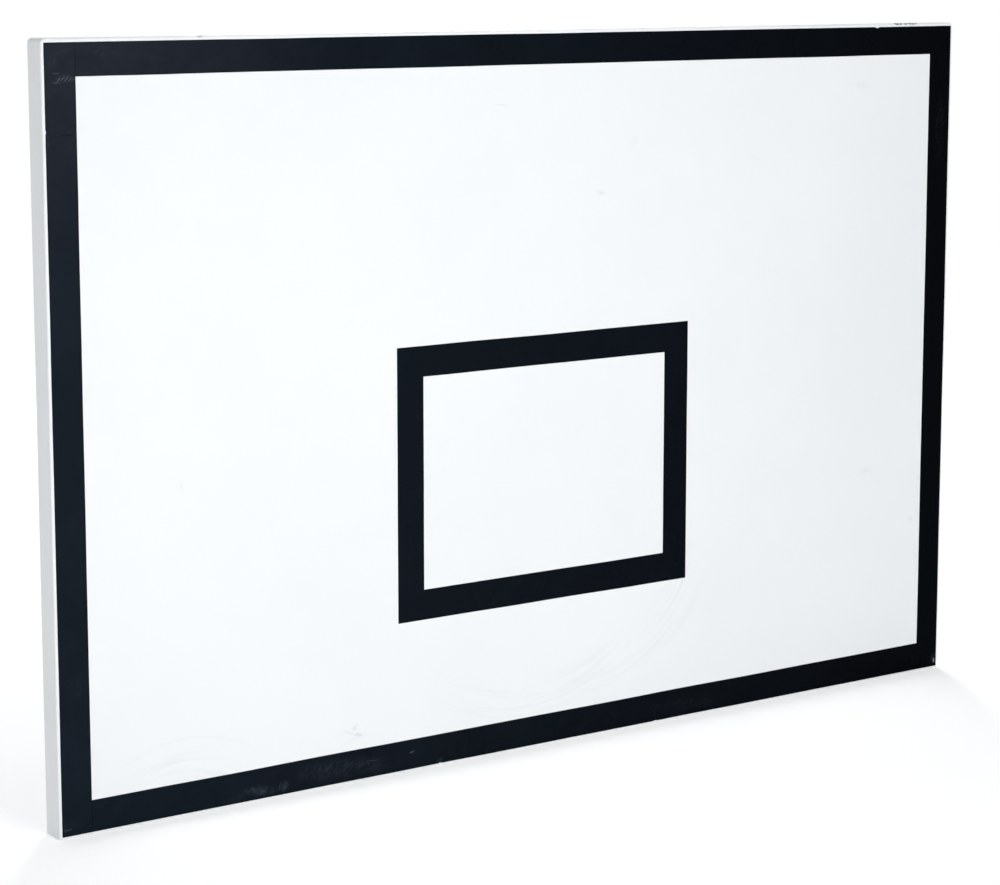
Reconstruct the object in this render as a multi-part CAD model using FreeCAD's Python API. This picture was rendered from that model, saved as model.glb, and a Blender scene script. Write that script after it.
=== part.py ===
import FreeCAD, Part
import math
import os
from FreeCAD import Vector

# Basketball backboard: a folded steel tray on a welded tube frame, marked with vinyl tape.
# Millimetres. X runs to the right as seen from the front, Y to the back, Z up.
# The origin is the middle of the four fixing points, on the plane that the support touches.

# Board
board_width = 1800.0
board_height = 1200.0
sheet = 1.5  # steel sheet of the tray
fold_inside_radius = 1.5  # folds along the face
corner_inside_radius = 6.5  # upper corners of the tray; the lower ones are square
rear_lip = 3.5  # the tray's sides pass the back of the tubes by this

# Tubes of the frame
tube_size = 40.0
tube_wall = 2.0
tube_inside_radius = 2.0
frame_gap = 0.5  # between the frame and the sides of the tray

# Fixing points, which also place the outer uprights
mount_spacing_x = 1000.0
mount_spacing_z = 700.0
bush_stand = 5.0  # the bushes stand behind the tray by this
bush_collar = 26.0
bush_shank = 20.0
bush_shank_length = 30.0
bush_shank_gap = 0.1  # all round, in the wall of the tube
bush_bore = 10.2  # tapping size for M12

# Ring plate, between the inner uprights
inner_upright_spacing = 320.0
ring_level = 300.0  # above the lower edge of the board
ring_bolts_x = 110.0
ring_bolts_z = 90.0
ring_bolts_drop = 65.0  # middle of the bolts, below ring level
ring_plate_height = 200.0
ring_plate_thickness = 8.0
ring_hole = 13.0
nut_across_flats = 19.0
nut_height = 10.0
nut_bore = 10.2

# Lines of tape
line_width = 50.0
line_thickness = 0.25
line_clear_side = 1.5  # from the fold to the tape
line_clear_top = 3.0
line_clear_bottom = 0.5
target_width = 590.0
target_height = 450.0

# Welds
fillet_leg = 4.0
plate_weld_leg = 5.0
plate_weld_short = 10.0  # the bead stops this far from the ends of the plate
bush_weld_leg = 3.0
corner_weld_width = 6.0
corner_weld_height = 1.2
stitch_length = 45.0
stitch_rise = 2.6  # on the side of the tray, behind the tubes
stitch_run = 2.0  # on the back of the tube, past its rounded edge
stitch_end = 150.0  # from the end of a side to the middle of its first stitch
stitch_pitch = 340.0  # about this; a side's stitches are spread evenly

# Sealant beads beside the uprights
sealant_foot = 5.0
sealant_rise = 2.0
sealant_short = 30.0  # from the frame or the ring plate

# Damping mats
mat_thickness = 4.0
mat_clear_side = 40.0
mat_clear_end = 60.0

# Planes across Y, from the support forward
flange_back_y = -bush_stand
tube_back_y = flange_back_y - rear_lip
tube_front_y = tube_back_y - tube_size
sheet_back_y = tube_front_y
face_y = sheet_back_y - sheet

# Sizes that follow
tube_radius = tube_inside_radius + tube_wall
fold_radius = fold_inside_radius + sheet
half_width = board_width / 2
half_height = board_height / 2
frame_inset = sheet + frame_gap
frame_half_x = half_width - frame_inset
frame_half_z = half_height - frame_inset
bay_half_z = frame_half_z - tube_size
mount_half_x = mount_spacing_x / 2
mount_half_z = mount_spacing_z / 2
inner_upright_x = inner_upright_spacing / 2
ring_z = -half_height + ring_level - ring_bolts_drop
plate_half_x = inner_upright_x - tube_size / 2
plate_bottom_z = ring_z - ring_plate_height / 2
plate_top_z = ring_z + ring_plate_height / 2
plate_back_y = sheet_back_y + ring_plate_thickness

same = 1e-6  # smaller differences than this count as none
axis_x = Vector(1, 0, 0)
axis_y = Vector(0, 1, 0)
axis_z = Vector(0, 0, 1)
upright_places = {
    "outer_left": -mount_half_x,
    "inner_left": -inner_upright_x,
    "inner_right": inner_upright_x,
    "outer_right": mount_half_x,
}


def block(x0, x1, y0, y1, z0, z1):
    return Part.makeBox(x1 - x0, y1 - y0, z1 - z0, Vector(x0, y0, z0))


def edges_along(shape, axis):
    # Straight edges of the shape that run along an axis.
    found = []
    for edge in shape.Edges:
        start, end = edge.Vertexes[0].Point, edge.Vertexes[-1].Point
        run = end - start
        if run.Length > 0 and run.cross(axis).Length < same * run.Length:
            found.append(edge)
    return found


def board_block(inset, corner, y0, y1):
    # Block with the outline of the board, set in all round, with round upper corners.
    half_x = half_width - inset
    half_z = half_height - inset
    shape = block(-half_x, half_x, y0, y1, -half_z, half_z)
    upper = [edge for edge in edges_along(shape, axis_y) if edge.Vertexes[0].Z > 0]
    return shape.makeFillet(corner, upper)


def round_front(shape, radius):
    # The same shape with its front edges rounded.
    front_y = shape.BoundBox.YMin
    edges = [edge for edge in shape.Edges if edge.BoundBox.YMax < front_y + same]
    return shape.makeFillet(radius, edges)


def bead(origin, across, up, along, length, outline, arcs=None):
    # Solid of one outline swept straight. Each corner of the outline is (across, up).
    # arcs gives, by the number of the corner it starts from, a point on an arc.
    def place(corner):
        return origin + across * corner[0] + up * corner[1]

    edges = []
    for number, corner in enumerate(outline):
        start = place(corner)
        end = place(outline[(number + 1) % len(outline)])
        if arcs and number in arcs:
            edges.append(Part.Arc(start, place(arcs[number]), end).toShape())
        else:
            edges.append(Part.makeLine(start, end))
    return Part.Face(Part.Wire(edges)).extrude(along * length)


def fillet_bead(origin, across, up, along, length, leg):
    # Three-cornered weld in an inside corner.
    return bead(origin, across, up, along, length, [(0, 0), (leg, 0), (0, leg)])


def face_tray():
    outer_corner = corner_inside_radius + sheet
    outer = round_front(board_block(0, outer_corner, face_y, flange_back_y), fold_radius)
    inner = board_block(sheet, corner_inside_radius, sheet_back_y, flange_back_y + sheet)
    return outer.cut(round_front(inner, fold_inside_radius))


def line_rectangle(prefix, x0, x1, z0, z1, turning):
    # Four lengths of tape that butt together. Either the upright ones run full height,
    # or, turning, each one covers one corner and butts against the next.
    y0, y1 = face_y - line_thickness, face_y
    left, right = x0 + line_width, x1 - line_width
    lower, upper = z0 + line_width, z1 - line_width
    return {
        prefix + "_left": block(x0, left, y0, y1, z0, upper if turning else z1),
        prefix + "_right": block(right, x1, y0, y1, lower if turning else z0, z1),
        prefix + "_top": block(x0 if turning else left, right, y0, y1, upper, z1),
        prefix + "_bottom": block(left, x1 if turning else right, y0, y1, z0, lower),
    }


def border_lines():
    half = half_width - fold_radius - line_clear_side
    top = half_height - fold_radius - line_clear_top
    bottom = -half_height + fold_radius + line_clear_bottom
    return line_rectangle("border_line", -half, half, bottom, top, False)


def target_lines():
    # The top edge of the lower line is at ring level.
    bottom = -half_height + ring_level - line_width
    top = bottom + target_height
    half = target_width / 2
    return line_rectangle("target_line", -half, half, bottom, top, True)


def square_tube(length):
    # Upright tube in the middle of the board, at the depth of the frame.
    def bar(inset, radius):
        half = tube_size / 2 - inset
        y0, y1 = tube_front_y + inset, tube_back_y - inset
        shape = block(-half, half, y0, y1, -length / 2, length / 2)
        return shape.makeFillet(radius, edges_along(shape, axis_z))

    return bar(0, tube_radius).cut(bar(tube_wall, tube_inside_radius))


def frame_tubes():
    envelope = board_block(frame_inset, corner_inside_radius - frame_gap, tube_front_y, tube_back_y)
    shapes = {}
    sides = {
        "left": (frame_half_x, frame_half_z, 0),
        "top": (frame_half_z, frame_half_x, 90),
        "right": (frame_half_x, frame_half_z, 180),
        "bottom": (frame_half_z, frame_half_x, 270),
    }
    for side, (reach, half_length, turn) in sides.items():
        tube = square_tube(2 * half_length)
        tube.translate(Vector(tube_size / 2 - reach, 0, 0))
        inner_half = half_length - tube_size
        mitre = [
            (-reach, -half_length),
            (-reach, half_length),
            (tube_size - reach, inner_half),
            (tube_size - reach, -inner_half),
        ]
        corner = Vector(0, tube_front_y, 0)
        tube = tube.common(bead(corner, axis_x, axis_z, axis_y, tube_size, mitre))
        tube.rotate(Vector(0, 0, 0), axis_y, turn)
        shapes["frame_tube_" + side] = tube.common(envelope)
    return shapes


def bush_positions():
    heights = {"lower": -mount_half_z, "upper": mount_half_z}
    sides = {"left": -mount_half_x, "right": mount_half_x}
    return {
        level + "_" + side: Vector(x, 0, z)
        for level, z in heights.items()
        for side, x in sides.items()
    }


def uprights():
    shapes = {}
    for place, x in upright_places.items():
        tube = square_tube(2 * bay_half_z)
        tube.translate(Vector(x, 0, 0))
        if place.startswith("outer"):
            for position in bush_positions().values():
                start = Vector(position.x, tube_back_y - tube_size / 2, position.z)
                radius = bush_shank / 2 + bush_shank_gap
                tube = tube.cut(Part.makeCylinder(radius, tube_size, start, axis_y))
        shapes["upright_" + place] = tube
    return shapes


def mounting_bushes():
    shapes = {}
    for place, position in bush_positions().items():
        back = position + Vector(0, tube_back_y, 0)
        tip = back - axis_y * bush_shank_length
        collar = Part.makeCylinder(bush_collar / 2, -tube_back_y, back, axis_y)
        shank = Part.makeCylinder(bush_shank / 2, bush_shank_length, tip, axis_y)
        bore = Part.makeCylinder(bush_bore / 2, -tip.y, tip, axis_y)
        shapes["mounting_bush_" + place] = collar.fuse(shank).cut(bore).removeSplitter()
    return shapes


def ring_bolt_positions():
    return [
        Vector(x, 0, ring_z + z)
        for x in (-ring_bolts_x / 2, ring_bolts_x / 2)
        for z in (-ring_bolts_z / 2, ring_bolts_z / 2)
    ]


def ring_plate():
    plate = block(
        -plate_half_x, plate_half_x, sheet_back_y, plate_back_y, plate_bottom_z, plate_top_z
    )
    for position in ring_bolt_positions():
        start = position + axis_y * sheet_back_y
        plate = plate.cut(
            Part.makeCylinder(ring_hole / 2, ring_plate_thickness, start, axis_y)
        )
    return plate


def ring_weld_nuts():
    nuts = []
    reach = nut_across_flats / math.sqrt(3)
    turns = [math.radians(60 * step) for step in range(6)]
    outline = [(reach * math.cos(turn), reach * math.sin(turn)) for turn in turns]
    for position in ring_bolt_positions():
        seat = position + axis_y * plate_back_y
        nut = bead(seat, axis_x, axis_z, axis_y, nut_height, outline)
        nuts.append(nut.cut(Part.makeCylinder(nut_bore / 2, nut_height, seat, axis_y)))
    return Part.makeCompound(nuts)


def frame_corner_welds():
    # Low beads over the mitres, on the flat back of the tubes.
    welds = []
    half = corner_weld_width / 2
    length = (tube_size - 2 * tube_radius) * math.sqrt(2)
    for side_x in (-1, 1):
        for side_z in (-1, 1):
            along = Vector(side_x, 0, side_z).normalize()
            across = axis_y.cross(along)
            start = Vector(
                side_x * (frame_half_x - tube_size + tube_radius),
                tube_back_y,
                side_z * (frame_half_z - tube_size + tube_radius),
            )
            outline = [(-half, 0), (half, 0)]
            crown = {1: (0, corner_weld_height)}
            welds.append(bead(start, across, axis_y, along, length, outline, crown))
    return Part.makeCompound(welds)


def upright_welds():
    # Fillets on both sides of each upright, at both ends.
    welds = []
    length = tube_size - 2 * tube_radius
    for x in upright_places.values():
        for side in (-1, 1):
            for end in (-1, 1):
                start = Vector(
                    x + side * tube_size / 2, tube_front_y + tube_radius, end * bay_half_z
                )
                across, up = axis_x * side, axis_z * -end
                welds.append(fillet_bead(start, across, up, axis_y, length, fillet_leg))
    return Part.makeCompound(welds)


def ring_plate_welds():
    welds = []
    length = ring_plate_height - 2 * plate_weld_short
    for side in (-1, 1):
        start = Vector(side * plate_half_x, plate_back_y, plate_bottom_z + plate_weld_short)
        welds.append(fillet_bead(start, axis_x * -side, axis_y, axis_z, length, plate_weld_leg))
    return Part.makeCompound(welds)


def bush_welds():
    welds = []
    inner = bush_collar / 2
    outer = inner + bush_weld_leg
    for position in bush_positions().values():
        seat = position + axis_y * tube_back_y
        cone = Part.makeCone(outer, inner, bush_weld_leg, seat, axis_y)
        welds.append(cone.cut(Part.makeCylinder(inner, bush_weld_leg, seat, axis_y)))
    return Part.makeCompound(welds)


def stitch_weld(middle, inward, along):
    # Bead that fills the groove between the side of the tray and the round edge of a tube.
    edge = frame_gap + tube_radius
    bevel = tube_radius * (1 - math.sqrt(0.5))
    outline = [
        (0, tube_back_y + stitch_rise),
        (0, tube_back_y - tube_radius),
        (frame_gap, tube_back_y - tube_radius),
        (edge, tube_back_y),
        (edge + stitch_run, tube_back_y),
    ]
    arcs = {2: (frame_gap + bevel, tube_back_y - bevel)}
    start = middle - along * (stitch_length / 2)
    return bead(start, inward, axis_y, along, stitch_length, outline, arcs)


def stitch_places(half_length):
    # Middles of the stitches along a side, from one end to the other.
    first = half_length - stitch_end
    steps = max(1, round(2 * first / stitch_pitch))
    return [first * (2 * number / steps - 1) for number in range(steps + 1)]


def tray_stitch_welds():
    welds = []
    side_x = half_width - sheet
    side_z = half_height - sheet
    for side in (-1, 1):
        for x in stitch_places(half_width):
            welds.append(stitch_weld(Vector(x, 0, side * side_z), axis_z * -side, axis_x))
        for z in stitch_places(half_height):
            welds.append(stitch_weld(Vector(side * side_x, 0, z), axis_x * -side, axis_z))
    return Part.makeCompound(welds)


def sealant():
    # Beads in the corners between the uprights and the back of the face.
    shapes = {}
    bevel = tube_radius * (1 - math.sqrt(0.5))
    outline = [
        (sealant_foot, sheet_back_y),
        (-tube_radius, sheet_back_y),
        (0, sheet_back_y + tube_radius),
        (0, sheet_back_y + tube_radius + sealant_rise),
    ]
    arcs = {1: (-bevel, sheet_back_y + bevel)}
    top = bay_half_z - sealant_short
    for place, x in upright_places.items():
        beads = []
        for side in (-1, 1):
            beside_plate = abs(x) == inner_upright_x and side * x < 0
            bottom = (plate_top_z if beside_plate else -bay_half_z) + sealant_short
            start = Vector(x + side * tube_size / 2, 0, bottom)
            beads.append(
                bead(start, axis_x * side, axis_y, axis_z, top - bottom, outline, arcs)
            )
        shapes["sealant_" + place] = Part.makeCompound(beads)
    return shapes


def damping_mats():
    # One mat in each bay, from left to right; the middle one stays above the ring plate.
    shapes = {}
    half = tube_size / 2
    left_sides = [tube_size - frame_half_x] + [x + half for x in upright_places.values()]
    right_sides = [x - half for x in upright_places.values()] + [frame_half_x - tube_size]
    back = sheet_back_y + mat_thickness
    for number, (left, right) in enumerate(zip(left_sides, right_sides), 1):
        over_plate = left < 0 < right
        bottom = (plate_top_z if over_plate else -bay_half_z) + mat_clear_end
        shapes["damping_mat_" + str(number)] = block(
            left + mat_clear_side,
            right - mat_clear_side,
            sheet_back_y,
            back,
            bottom,
            bay_half_z - mat_clear_end,
        )
    return shapes


pieces = {
    "face_tray": face_tray(),
    "ring_plate": ring_plate(),
    "ring_weld_nuts": ring_weld_nuts(),
    "frame_corner_welds": frame_corner_welds(),
    "upright_welds": upright_welds(),
    "ring_plate_welds": ring_plate_welds(),
    "bush_welds": bush_welds(),
    "tray_stitch_welds": tray_stitch_welds(),
    **border_lines(),
    **target_lines(),
    **frame_tubes(),
    **uprights(),
    **mounting_bushes(),
    **sealant(),
    **damping_mats(),
}

os.makedirs("parts", exist_ok=True)
for name, shape in pieces.items():
    shape.exportStep("parts/" + name + ".step")
    print(name, len(shape.Solids), "solids", round(shape.Volume / 1000, 2), "cm3", shape.isValid())
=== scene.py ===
import bpy
import bmesh
import math
import numpy as np
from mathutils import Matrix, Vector


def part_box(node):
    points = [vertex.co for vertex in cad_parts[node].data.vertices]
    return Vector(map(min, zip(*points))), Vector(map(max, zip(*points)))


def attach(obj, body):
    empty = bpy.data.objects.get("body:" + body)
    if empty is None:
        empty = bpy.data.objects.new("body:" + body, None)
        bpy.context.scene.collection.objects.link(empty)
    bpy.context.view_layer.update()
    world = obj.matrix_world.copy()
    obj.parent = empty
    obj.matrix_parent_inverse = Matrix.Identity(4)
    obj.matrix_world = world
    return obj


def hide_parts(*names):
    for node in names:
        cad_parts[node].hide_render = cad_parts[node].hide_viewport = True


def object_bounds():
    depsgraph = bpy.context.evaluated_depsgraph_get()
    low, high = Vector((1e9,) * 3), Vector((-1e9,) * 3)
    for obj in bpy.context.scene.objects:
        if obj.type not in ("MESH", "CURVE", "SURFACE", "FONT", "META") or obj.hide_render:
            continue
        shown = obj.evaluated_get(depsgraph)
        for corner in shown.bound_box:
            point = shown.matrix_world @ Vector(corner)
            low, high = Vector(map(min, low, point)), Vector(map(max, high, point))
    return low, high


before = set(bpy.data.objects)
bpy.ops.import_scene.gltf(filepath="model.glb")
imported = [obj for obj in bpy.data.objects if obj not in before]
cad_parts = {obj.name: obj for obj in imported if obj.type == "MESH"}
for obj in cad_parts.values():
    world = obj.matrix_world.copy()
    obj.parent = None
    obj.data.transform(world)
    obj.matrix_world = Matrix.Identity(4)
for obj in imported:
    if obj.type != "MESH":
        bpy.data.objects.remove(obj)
cadLow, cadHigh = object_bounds()
scene = bpy.context.scene
scene.view_settings.view_transform = "Standard"
mm = 0.001
mergeWithin = 1e-6  # points closer than this become one
halfRoot = math.sqrt(0.5)
backwards, upwards = (0, 1, 0), (0, 0, 1)
signs = (-1, 1)
sides = ("left", "right", "top", "bottom")
print("frame loaded,", len(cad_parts), "nodes")


def gridFaces(rows, columns, rowsClosed=False, columnsClosed=False):
    # a four-sided face between neighbouring points of a grid, counted row by row
    row, column = np.meshgrid(
        np.arange(rows - (not rowsClosed)), np.arange(columns - (not columnsClosed)), indexing="ij"
    )
    nextRow, nextColumn = (row + 1) % rows, (column + 1) % columns
    corners = [row * columns + column, nextRow * columns + column,
               nextRow * columns + nextColumn, row * columns + nextColumn]
    return np.stack(corners, -1).reshape(-1, 4)


def carried(sections, ring=False):
    # profile carried along a path: sections[step, point]; open paths get a face at each end
    steps, points = sections.shape[:2]
    faces = gridFaces(steps, points, ring, True).tolist()
    if not ring:
        faces.append(list(range(points)))
        faces.append(list(range((steps - 1) * points, steps * points)))
    return sections.reshape(-1, 3), faces


def joined(shapes):
    # several shapes as one, the later ones' corner numbers moved up
    counts = np.cumsum([0] + [len(points) for points, _ in shapes])
    faces = [[corner + start for corner in face] for (_, part), start in zip(shapes, counts) for face in part]
    return np.concatenate([points for points, _ in shapes]), faces


def stacked(x, y, z):
    # three arrays, spread to one size, as points
    return np.stack(np.broadcast_arrays(x, y, z), -1).astype(float)


def fullTurn(steps):
    return np.linspace(0, 2 * np.pi, steps, endpoint=False)


def wander(along, period, seed):
    # soft unevenness of about -1 to 1: five sines with lengths near the period and drawn phases
    draw = np.random.default_rng(seed)
    lengths = period * draw.uniform(0.55, 1.8, 5)
    phases = draw.uniform(0, 2 * np.pi, 5)
    return np.sin(2 * np.pi * np.asarray(along)[..., None] / lengths + phases).sum(-1) / 3


def middleOf(name, axis):
    # middle of a node's box along one axis
    low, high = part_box(name)
    return (low[axis] + high[axis]) / 2


def makePiece(node, shape, finish, sharp):
    # piece in place of a node: doubles merged, faces turned outwards, smooth up to the angle sharp
    first, *others = node.split("_")
    name = first + "".join(word.capitalize() for word in others)
    points, faces = shape
    mesh = bpy.data.meshes.new(name)
    mesh.from_pydata(points.tolist(), [], faces)
    body = bmesh.new()
    body.from_mesh(mesh)
    bmesh.ops.remove_doubles(body, verts=body.verts, dist=mergeWithin)
    bmesh.ops.recalc_face_normals(body, faces=body.faces)
    if body.calc_volume(signed=True) < 0:  # a very flat piece can come out turned inwards
        bmesh.ops.reverse_faces(body, faces=body.faces)
    body.to_mesh(mesh)
    body.free()
    mesh.shade_smooth()
    mesh.set_sharp_from_angle(angle=math.radians(sharp))
    mesh.materials.append(finish)
    piece = bpy.data.objects.new(name, mesh)
    scene.collection.objects.link(piece)
    even = piece.modifiers.new("flatShading", "WEIGHTED_NORMAL")  # flats stay flat beside narrow rounds
    even.keep_sharp = True
    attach(piece, "root")
    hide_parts(node)


# finishes: small helpers for node trees

def newFinish(name):
    finish = bpy.data.materials.new(name)
    finish.use_nodes = True
    return finish, finish.node_tree, finish.node_tree.nodes["Principled BSDF"]


def put(tree, kind, inputs=None, **settings):
    # one node; an input given as a socket is linked, any other value is set
    node = tree.nodes.new("ShaderNode" + kind)
    for key, value in settings.items():
        setattr(node, key, value)
    for key, value in (inputs or {}).items():
        if isinstance(value, bpy.types.NodeSocket):
            tree.links.new(value, node.inputs[key])
        else:
            node.inputs[key].default_value = value
    return node


def objectPlace(tree):
    return put(tree, "TexCoord").outputs["Object"]


def partOf(tree, place, axis):
    return put(tree, "SeparateXYZ", {0: place}).outputs[axis]


def lengthOf(tree, vector):
    return put(tree, "VectorMath", {0: vector}, operation="LENGTH").outputs["Value"]


def grain(tree, place, scale, detail=3.0, roughness=0.5, twist=0.0):
    inputs = {"Vector": place, "Scale": scale, "Detail": detail, "Roughness": roughness, "Distortion": twist}
    return put(tree, "TexNoise", inputs).outputs["Fac"]


def span(tree, value, low, high, toLow=0.0, toHigh=1.0, kind="SMOOTHSTEP"):
    # value from low to high, carried over to toLow to toHigh
    inputs = {"Value": value, "From Min": low, "From Max": high, "To Min": toLow, "To Max": toHigh}
    return put(tree, "MapRange", inputs, interpolation_type=kind).outputs["Result"]


def textured(tree, place, use):
    # grain of the first settings (scale, detail, roughness, twist), spread as the second ones say
    grainSettings, spanSettings = use
    return span(tree, grain(tree, place, *grainSettings), *spanSettings)


def sums(tree, kind, first, second=0.0):
    return put(tree, "Math", {0: first, 1: second}, operation=kind).outputs[0]


def times(tree, first, second):
    return sums(tree, "MULTIPLY", first, second)


def largest(tree, masks):
    total = masks[0]
    for mask in masks[1:]:
        total = sums(tree, "MAXIMUM", total, mask)
    return total


def blend(tree, amount, first, second):
    return put(tree, "MixRGB", {"Fac": amount, "Color1": first, "Color2": second}).outputs["Color"]


def stretched(tree, place, middle, turn, size):
    # place seen from a middle on the face, turned about Y, in units of size across and up
    inputs = {"Vector": place, "Location": (middle[0], faceY, middle[1]),
              "Rotation": (0, math.radians(turn), 0), "Scale": (size[0], 1, size[1])}
    return put(tree, "Mapping", inputs, vector_type="TEXTURE").outputs["Vector"]


def patch(tree, place, middle, size, turn=0.0, core=0.25):
    # soft oval: full in its core, nothing at its edge
    return span(tree, lengthOf(tree, stretched(tree, place, middle, turn, size)), core, 1.0, 1.0, 0.0)


def coat(tree, shader, colour, dull):
    tree.links.new(colour, shader.inputs["Base Color"])
    tree.links.new(dull, shader.inputs["Roughness"])


def roughen(tree, shader, height, strength, depth):
    bump = put(tree, "Bump", {"Height": height, "Strength": strength, "Distance": depth})
    tree.links.new(bump.outputs["Normal"], shader.inputs["Normal"])


def orangePeel(tree, shader, place, use):
    # fine grain plus a share of coarse grain, as on powder coat
    fine, coarse, detail, share = use["peel"]
    waves = times(tree, grain(tree, place, coarse, detail), share)
    roughen(tree, shader, sums(tree, "ADD", grain(tree, place, fine, detail), waves), *use["bump"])


def makePlainFinish(name, use):
    # two colours in clouds, an uneven gloss and a fine grain
    finish, tree, shader = newFinish(name)
    shader.inputs["Metallic"].default_value = use["metal"]
    place = objectPlace(tree)
    colour = blend(tree, textured(tree, place, use["cloud"]), use["colour"], use["shade"])
    coat(tree, shader, colour, textured(tree, place, use["roughness"]))
    roughen(tree, shader, grain(tree, place, *use["bumpGrain"]), *use["bump"])
    return finish


# planes and edges that the pieces share, from the CAD nodes
trayLow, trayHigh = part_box("face_tray")
faceY = trayLow.y
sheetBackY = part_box("damping_mat_1")[0].y
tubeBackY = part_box("frame_tube_left")[1].y
uprightPlaces = ["outer_left", "inner_left", "inner_right", "outer_right"]
uprightX = [middleOf("upright_" + place, 0) for place in uprightPlaces]
uprightLow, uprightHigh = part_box("upright_outer_left")
bayEdges = np.array([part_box("frame_tube_left")[1].x] + uprightX + [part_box("frame_tube_right")[0].x])
bayTop = uprightHigh.z
tubeFrontY = uprightLow.y
tubeSize = uprightHigh.x - uprightLow.x
frameHalfX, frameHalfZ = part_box("frame_tube_right")[1].x, -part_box("frame_tube_bottom")[0].z


# white powder coat: orange peel, wiped streaks, a few specks, chips along the top edge
whiteCoat = {
    "colour": (0.874, 0.886, 0.894, 1), "shade": (0.838, 0.855, 0.868, 1), "streak": (0.62, 0.65, 0.67, 1),
    "speck": (0.23, 0.24, 0.27, 1), "chip": (0.05, 0.05, 0.06, 1), "gloss": 0.21,
    # grain settings and what they are spread over
    "cloud": ((2.2, 4, 0.6), (0.35, 0.75, 0.0, 0.7)), "roughness": ((9, 5, 0.65), (0.3, 0.7, 0.42, 0.54)),
    "ragged": ((260, 3, 0.6), (0.3, 0.62)), "torn": ((260, 5, 0.7), (0.40, 0.54)),
    "wiping": ((1.0, 6, 0.62, 0.25), (0.47, 0.74)), "wipingScale": (90.0, 1.3), "wipingSeed": 3.7,
    "peel": (420, 60, 2, 0.8), "bump": (0.10, 0.4 * mm),
    "markFade": (0.5 * mm, 1.0 * mm),  # depths between which the marks of the face end
    "wipedColour": 0.32, "wipedDull": 0.12, "bowCore": (0.35, 0.3), "speckCore": 0.1, "chipCore": 0.6,
    # middle of the wiping turns, inner and outer reach, middle angle, half angle, strength
    "wipes": [
        ((-0.041, -0.193), 0.27, 0.37, -85, 48, 0.75), ((0.065, -0.234), 0.20, 0.32, -50, 55, 0.75),
        ((-0.684, -0.711), 0.13, 0.26, 85, 42, 0.65), ((-0.36, -0.64), 0.07, 0.15, 110, 60, 0.5),
    ],
    # middle, radius, half width, middle angle, half angle, strength: single lines left by the cloth
    "arcs": [
        ((-0.041, -0.193), 0.335, 0.0016, -83, 38, 0.55), ((0.065, -0.234), 0.269, 0.0022, -58, 40, 0.30),
        ((-0.684, -0.711), 0.234, 0.0025, 83, 30, 0.32), ((-0.678, -0.682), 0.181, 0.0022, 92, 28, 0.32),
    ],
    # middle, size, turn, strength
    "specks": [
        ((0.108, 0.329), (0.015, 0.006), 8, 0.20), ((-0.684, -0.081), (0.004, 0.012), 0, 0.09),
        ((-0.378, -0.509), (0.007, 0.009), 25, 0.22), ((-0.388, -0.517), (0.017, 0.003), 22, 0.16),
        ((-0.372, -0.522), (0.012, 0.005), 8, 0.26), ((0.178, 0.412), (0.018, 0.008), -30, 0.055),
        ((0.44, 0.375), (0.020, 0.006), 25, 0.055), ((0.683, 0.492), (0.026, 0.010), 12, 0.085),
        ((0.709, -0.205), (0.018, 0.006), -20, 0.12), ((0.824, -0.308), (0.012, 0.005), 15, 0.15),
        ((-0.095, 0.481), (0.020, 0.0012), 2, 0.25),
    ],
    # x, depth behind the face, half length, half width, strength
    "chips": [
        (0.7685, 0.0020, 0.015, 0.0050, 1.0), (0.785, 0.0018, 0.006, 0.0040, 0.9),
        (0.8015, 0.0024, 0.016, 0.0055, 0.9), (-0.640, 0.0018, 0.008, 0.0040, 0.5),
    ],
    "chipDrop": 4.4 * mm,
}


def aroundMiddle(tree, place, middle):
    # distance and angle about a middle on the face
    local = stretched(tree, place, middle, 0, (1, 1))
    turn = sums(tree, "ARCTAN2", partOf(tree, local, "Z"), partOf(tree, local, "X"))
    return lengthOf(tree, local), turn


def bowMask(tree, place, middle, radius, halfWidth, angle, halfAngle):
    # soft bow: a band of radii within a fan of angles
    bandCore, fanCore = whiteCoat["bowCore"]
    reach, turn = aroundMiddle(tree, place, middle)
    offRadius = sums(tree, "ABSOLUTE", sums(tree, "SUBTRACT", reach, radius))
    offAngle = sums(tree, "ABSOLUTE", sums(tree, "SUBTRACT", turn, math.radians(angle)))
    inBand = span(tree, offRadius, bandCore * halfWidth, halfWidth, 1.0, 0.0)
    inFan = span(tree, offAngle, math.radians(fanCore * halfAngle), math.radians(halfAngle), 1.0, 0.0)
    return times(tree, inBand, inFan)


def wipeMask(tree, place, seed, middle, inner, outer, angle, halfAngle):
    # streaks along circles: noise read by radius and angle, inside a bow
    reach, turn = aroundMiddle(tree, place, middle)
    across, along = whiteCoat["wipingScale"]
    polar = put(tree, "CombineXYZ", {0: times(tree, reach, across), 1: times(tree, turn, along), 2: seed})
    streaks = textured(tree, polar.outputs[0], whiteCoat["wiping"])
    bow = bowMask(tree, place, middle, (inner + outer) / 2, (outer - inner) / 2, angle, halfAngle)
    return times(tree, bow, streaks)


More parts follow.
